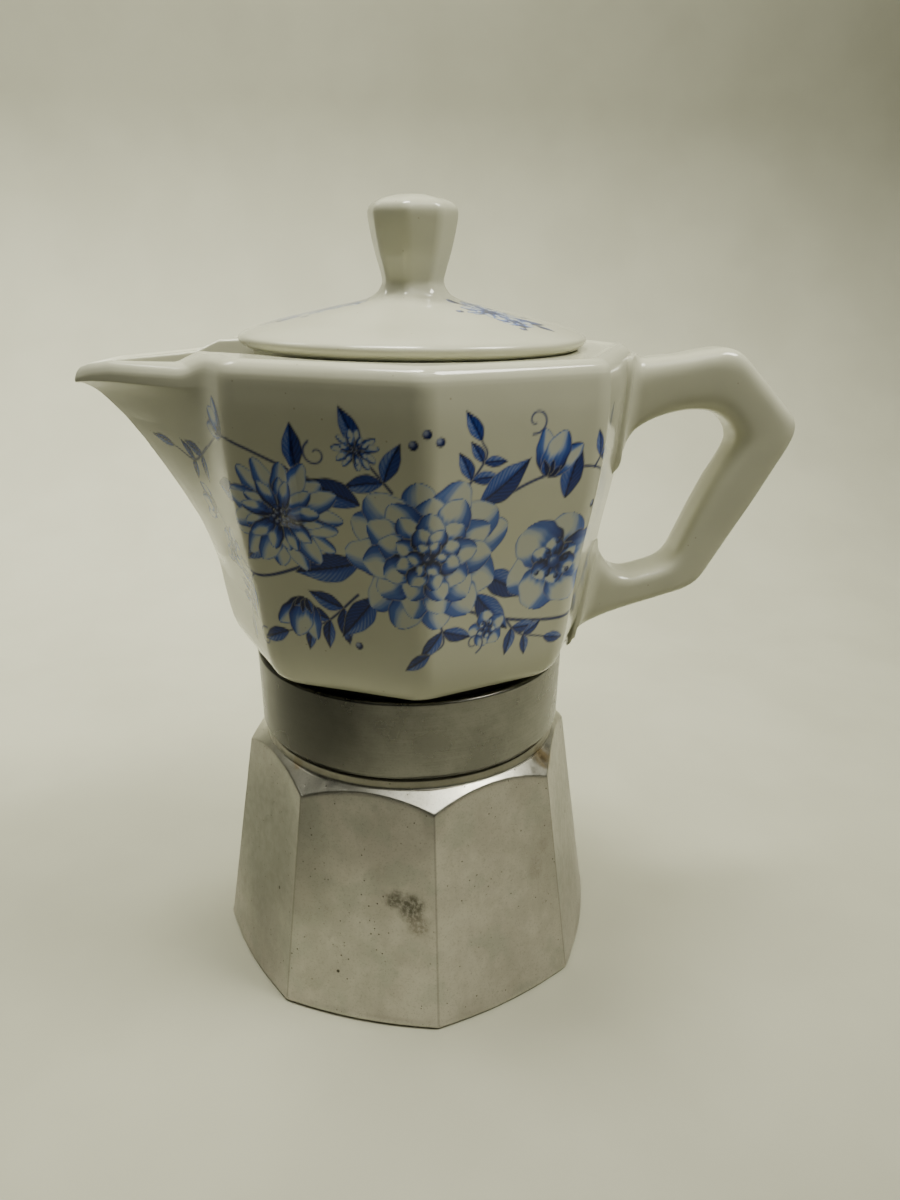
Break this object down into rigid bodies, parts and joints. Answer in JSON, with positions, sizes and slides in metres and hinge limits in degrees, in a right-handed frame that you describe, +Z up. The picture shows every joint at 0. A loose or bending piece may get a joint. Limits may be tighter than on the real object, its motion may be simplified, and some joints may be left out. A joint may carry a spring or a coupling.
{
  "type": "moka pot",
  "caption": "Stovetop moka pot: faceted aluminium boiler, threaded collar, octagonal porcelain jug with beak spout and loop handle, lift-off domed lid.",
  "frame": {"origin": "centre of the boiler's flat base, on the pot's upright axis", "axes": "+Z up along the pot's axis, +X towards the handle, -X towards the spout"},
  "size_m": [0.1639, 0.102, 0.1794],
  "materials": {
    "boiler_aluminium": "matt machined, stained by use",
    "collar_aluminium": "turned and brushed, dulled",
    "sheet_aluminium": "satin pressed sheet",
    "column_aluminium": "satin turned",
    "glazed_porcelain": "cream-white gloss glaze with a blue transfer of flowers",
    "valve_brass": "turned, dulled",
    "valve_steel": "bright drawn",
    "copper_washer": "plain copper",
    "pale_rubber": "soft matt",
    "black_rubber": "soft matt"
  },
  "bodies": {
    "boiler": {"boiler": "boiler_aluminium", "valve_washer": "copper_washer", "valve_body": "valve_brass", "valve_retainer": "valve_brass", "valve_spring": "valve_steel", "funnel_basket": "sheet_aluminium", "funnel_tube": "sheet_aluminium", "funnel_screen": "sheet_aluminium"},
    "valve_plunger": {"valve_pin": "valve_steel", "valve_seal": "black_rubber"},
    "seal": {"gasket": "pale_rubber", "filter_plate": "sheet_aluminium"},
    "jug": {"collar": "collar_aluminium", "lower_seal": "black_rubber", "jug": "glazed_porcelain", "upper_seal": "black_rubber", "clamp_washer": "sheet_aluminium", "column": "column_aluminium", "column_cap": "column_aluminium"},
    "lid": {"lid": "glazed_porcelain"}
  },
  "joints": [
    {"name": "top_rise", "type": "slide", "parent": "boiler", "child": "seal", "axis": [0, 0, 1], "range_m": [0, 0.006]},
    {"name": "top_turn", "type": "hinge", "parent": "seal", "child": "jug", "pos_m": [0, 0, 0.065], "axis": [0, 0, 1], "range_deg": [0, 720]},
    {"name": "lid_lift", "type": "slide", "parent": "jug", "child": "lid", "axis": [0, 0, 1], "range_m": [0, 0.06]},
    {"name": "valve_lift", "type": "slide", "parent": "boiler", "child": "valve_plunger", "axis": [0.3156, 0.9489, 0], "range_m": [0, 0.0015], "stiffness_N_per_m": 1500, "springref_m": -0.003, "deforming": ["valve_spring"]}
  ],
  "couplings": [
    {"joint": "top_rise", "follows": "top_turn", "m_per_rad": 0.00047746}
  ]
}
